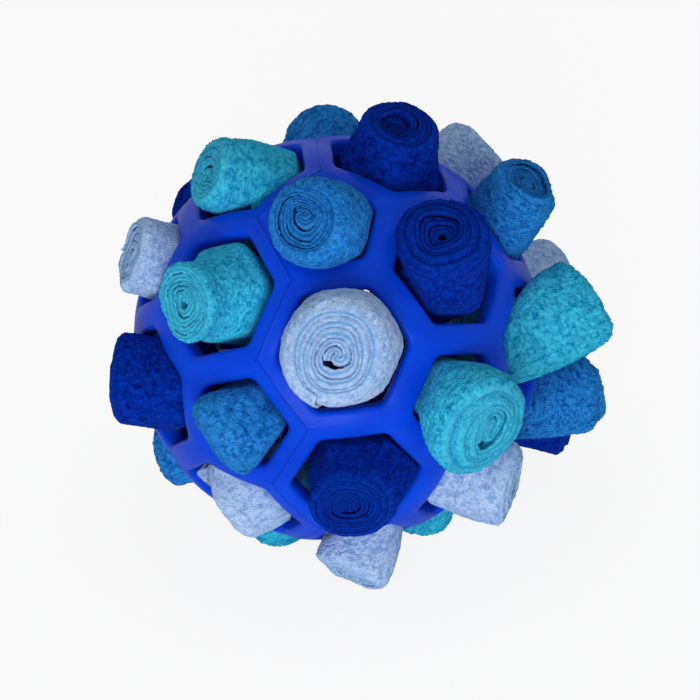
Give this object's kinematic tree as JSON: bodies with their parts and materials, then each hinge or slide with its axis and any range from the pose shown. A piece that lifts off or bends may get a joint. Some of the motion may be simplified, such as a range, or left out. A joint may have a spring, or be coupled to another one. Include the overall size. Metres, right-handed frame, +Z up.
{
  "type": "snuffle toy ball",
  "caption": "Hollow rubber lattice ball for a pet, with a rolled fleece strip pushed into each hole, where treats are hidden for sniffing out.",
  "frame": {"origin": "bottom centre of the toy's box, on the table that its three lowest rolls stand on", "axes": "+Z up, with the flat ends of the three lowest rolls facing -Z; -Y towards the picture's viewer, so +X is to the viewer's right"},
  "size_m": [0.1411, 0.1383, 0.1317],
  "materials": {
    "lattice_rubber": "moulded, semi-gloss, royal blue",
    "fleece_navy": "polar fleece, navy",
    "fleece_mid_blue": "polar fleece, mid-blue",
    "fleece_aqua": "polar fleece, aqua",
    "fleece_light_blue": "polar fleece, pale blue"
  },
  "bodies": {
    "ball": {"lattice_ball": "lattice_rubber"},
    "mid_blue_roll_1": {"mid_blue_roll_1": "fleece_mid_blue"},
    "aqua_roll_1": {"aqua_roll_1": "fleece_aqua"},
    "navy_roll_1": {"navy_roll_1": "fleece_navy"},
    "mid_blue_roll_2": {"mid_blue_roll_2": "fleece_mid_blue"},
    "aqua_roll_2": {"aqua_roll_2": "fleece_aqua"},
    "navy_roll_2": {"navy_roll_2": "fleece_navy"},
    "light_blue_roll_1": {"light_blue_roll_1": "fleece_light_blue"},
    "light_blue_roll_2": {"light_blue_roll_2": "fleece_light_blue"},
    "mid_blue_roll_3": {"mid_blue_roll_3": "fleece_mid_blue"},
    "navy_roll_3": {"navy_roll_3": "fleece_navy"},
    "light_blue_roll_3": {"light_blue_roll_3": "fleece_light_blue"},
    "mid_blue_roll_4": {"mid_blue_roll_4": "fleece_mid_blue"},
    "aqua_roll_3": {"aqua_roll_3": "fleece_aqua"},
    "aqua_roll_4": {"aqua_roll_4": "fleece_aqua"},
    "navy_roll_4": {"navy_roll_4": "fleece_navy"},
    "aqua_roll_5": {"aqua_roll_5": "fleece_aqua"},
    "aqua_roll_6": {"aqua_roll_6": "fleece_aqua"},
    "light_blue_roll_4": {"light_blue_roll_4": "fleece_light_blue"},
    "navy_roll_5": {"navy_roll_5": "fleece_navy"},
    "mid_blue_roll_5": {"mid_blue_roll_5": "fleece_mid_blue"},
    "navy_roll_6": {"navy_roll_6": "fleece_navy"},
    "light_blue_roll_5": {"light_blue_roll_5": "fleece_light_blue"},
    "light_blue_roll_6": {"light_blue_roll_6": "fleece_light_blue"},
    "mid_blue_roll_6": {"mid_blue_roll_6": "fleece_mid_blue"},
    "mid_blue_roll_7": {"mid_blue_roll_7": "fleece_mid_blue"},
    "light_blue_roll_7": {"light_blue_roll_7": "fleece_light_blue"},
    "navy_roll_7": {"navy_roll_7": "fleece_navy"},
    "navy_roll_8": {"navy_roll_8": "fleece_navy"},
    "light_blue_roll_8": {"light_blue_roll_8": "fleece_light_blue"},
    "aqua_roll_7": {"aqua_roll_7": "fleece_aqua"},
    "aqua_roll_8": {"aqua_roll_8": "fleece_aqua"},
    "mid_blue_roll_8": {"mid_blue_roll_8": "fleece_mid_blue"}
  },
  "joints": [
    {"name": "mid_blue_roll_1_pull", "type": "slide", "parent": "ball", "child": "mid_blue_roll_1", "axis": [0, -0.3433, 0.9392], "range_m": [0, 0.016]},
    {"name": "aqua_roll_1_pull", "type": "slide", "parent": "ball", "child": "aqua_roll_1", "axis": [-0.3568, 0.1885, 0.915], "range_m": [0, 0.016]},
    {"name": "navy_roll_1_pull", "type": "slide", "parent": "ball", "child": "navy_roll_1", "axis": [0.3568, 0.1885, 0.915], "range_m": [0, 0.016]},
    {"name": "mid_blue_roll_2_pull", "type": "slide", "parent": "ball", "child": "mid_blue_roll_2", "axis": [0, 0.6866, 0.7271], "range_m": [0, 0.016]},
    {"name": "aqua_roll_2_pull", "type": "slide", "parent": "ball", "child": "aqua_roll_2", "axis": [-0.5773, -0.449, 0.682], "range_m": [0, 0.016]},
    {"name": "navy_roll_2_pull", "type": "slide", "parent": "ball", "child": "navy_roll_2", "axis": [0.5773, -0.449, 0.682], "range_m": [0, 0.016]},
    {"name": "light_blue_roll_1_pull", "type": "slide", "parent": "ball", "child": "light_blue_roll_1", "axis": [0, -0.843, 0.538], "range_m": [0, 0.016]},
    {"name": "light_blue_roll_2_pull", "type": "slide", "parent": "ball", "child": "light_blue_roll_2", "axis": [-0.8507, 0.1061, 0.5149], "range_m": [0, 0.016]},
    {"name": "mid_blue_roll_3_pull", "type": "slide", "parent": "ball", "child": "mid_blue_roll_3", "axis": [0.8507, 0.1061, 0.5149], "range_m": [0, 0.016]},
    {"name": "navy_roll_3_pull", "type": "slide", "parent": "ball", "child": "navy_roll_3", "axis": [-0.5773, 0.682, 0.449], "range_m": [0, 0.016]},
    {"name": "light_blue_roll_3_pull", "type": "slide", "parent": "ball", "child": "light_blue_roll_3", "axis": [0.5773, 0.682, 0.449], "range_m": [0, 0.016]},
    {"name": "mid_blue_roll_4_pull", "type": "slide", "parent": "ball", "child": "mid_blue_roll_4", "axis": [-0.5257, -0.8332, 0.1716], "range_m": [0, 0.016]},
    {"name": "aqua_roll_3_pull", "type": "slide", "parent": "ball", "child": "aqua_roll_3", "axis": [0.5257, -0.8332, 0.1716], "range_m": [0, 0.016]},
    {"name": "aqua_roll_4_pull", "type": "slide", "parent": "ball", "child": "aqua_roll_4", "axis": [0, 0.987, 0.161], "range_m": [0, 0.016]},
    {"name": "navy_roll_4_pull", "type": "slide", "parent": "ball", "child": "navy_roll_4", "axis": [-0.9342, -0.3495, 0.072], "range_m": [0, 0.016]},
    {"name": "aqua_roll_5_pull", "type": "slide", "parent": "ball", "child": "aqua_roll_5", "axis": [0.9342, -0.3495, 0.072], "range_m": [0, 0.016]},
    {"name": "aqua_roll_6_pull", "type": "slide", "parent": "ball", "child": "aqua_roll_6", "axis": [-0.9342, 0.3495, -0.072], "range_m": [0, 0.016]},
    {"name": "light_blue_roll_4_pull", "type": "slide", "parent": "ball", "child": "light_blue_roll_4", "axis": [0.9342, 0.3495, -0.072], "range_m": [0, 0.016]},
    {"name": "navy_roll_5_pull", "type": "slide", "parent": "ball", "child": "navy_roll_5", "axis": [0, -0.987, -0.161], "range_m": [0, 0.016]},
    {"name": "mid_blue_roll_5_pull", "type": "slide", "parent": "ball", "child": "mid_blue_roll_5", "axis": [-0.5257, 0.8332, -0.1716], "range_m": [0, 0.016]},
    {"name": "navy_roll_6_pull", "type": "slide", "parent": "ball", "child": "navy_roll_6", "axis": [0.5257, 0.8332, -0.1716], "range_m": [0, 0.016]},
    {"name": "light_blue_roll_5_pull", "type": "slide", "parent": "ball", "child": "light_blue_roll_5", "axis": [-0.5773, -0.682, -0.449], "range_m": [0, 0.016]},
    {"name": "light_blue_roll_6_pull", "type": "slide", "parent": "ball", "child": "light_blue_roll_6", "axis": [0.5773, -0.682, -0.449], "range_m": [0, 0.016]},
    {"name": "mid_blue_roll_6_pull", "type": "slide", "parent": "ball", "child": "mid_blue_roll_6", "axis": [-0.8507, -0.1061, -0.5149], "range_m": [0, 0.016]},
    {"name": "mid_blue_roll_7_pull", "type": "slide", "parent": "ball", "child": "mid_blue_roll_7", "axis": [0.8507, -0.1061, -0.5149], "range_m": [0, 0.016]},
    {"name": "light_blue_roll_7_pull", "type": "slide", "parent": "ball", "child": "light_blue_roll_7", "axis": [0, 0.843, -0.538], "range_m": [0, 0.016]},
    {"name": "navy_roll_7_pull", "type": "slide", "parent": "ball", "child": "navy_roll_7", "axis": [-0.5773, 0.449, -0.682], "range_m": [0, 0.016]},
    {"name": "navy_roll_8_pull", "type": "slide", "parent": "ball", "child": "navy_roll_8", "axis": [0.5773, 0.449, -0.682], "range_m": [0, 0.016]},
    {"name": "light_blue_roll_8_pull", "type": "slide", "parent": "ball", "child": "light_blue_roll_8", "axis": [0, -0.6866, -0.7271], "range_m": [0, 0.016]},
    {"name": "aqua_roll_7_pull", "type": "slide", "parent": "ball", "child": "aqua_roll_7", "axis": [-0.3568, -0.1885, -0.915], "range_m": [0, 0.016]},
    {"name": "aqua_roll_8_pull", "type": "slide", "parent": "ball", "child": "aqua_roll_8", "axis": [0.3568, -0.1885, -0.915], "range_m": [0, 0.016]},
    {"name": "mid_blue_roll_8_pull", "type": "slide", "parent": "ball", "child": "mid_blue_roll_8", "axis": [0, 0.3433, -0.9392], "range_m": [0, 0.016]}
  ]
}
